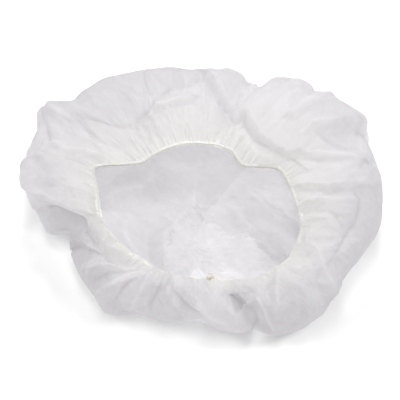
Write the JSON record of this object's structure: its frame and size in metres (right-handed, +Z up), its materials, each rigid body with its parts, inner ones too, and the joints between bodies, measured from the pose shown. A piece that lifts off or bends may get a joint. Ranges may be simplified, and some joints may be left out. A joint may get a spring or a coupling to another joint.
{
  "type": "disposable bouffant cap",
  "caption": "Round hair cap of thin white nonwoven cloth, gathered by an elastic hem, lying on its crown with the crumpled mouth up.",
  "frame": {"origin": "middle of the cap's outline, on the surface that its crown lies on", "axes": "+Z up, out of the mouth; +X along the cap's longer side, to the right in the picture; -Y towards the mouth's low edge, which faces the viewer"},
  "size_m": [0.2796, 0.2113, 0.0915],
  "materials": {
    "nonwoven": "soft matt white nonwoven, thin enough to let light through",
    "hem": "the same nonwoven, doubled and gathered",
    "elastic": "pale cream covered elastic"
  },
  "bodies": {
    "root": {"cap_cloth": "nonwoven", "hem_band": "hem", "elastic": "elastic", "elastic_knot": "elastic"}
  },
  "joints": []
}
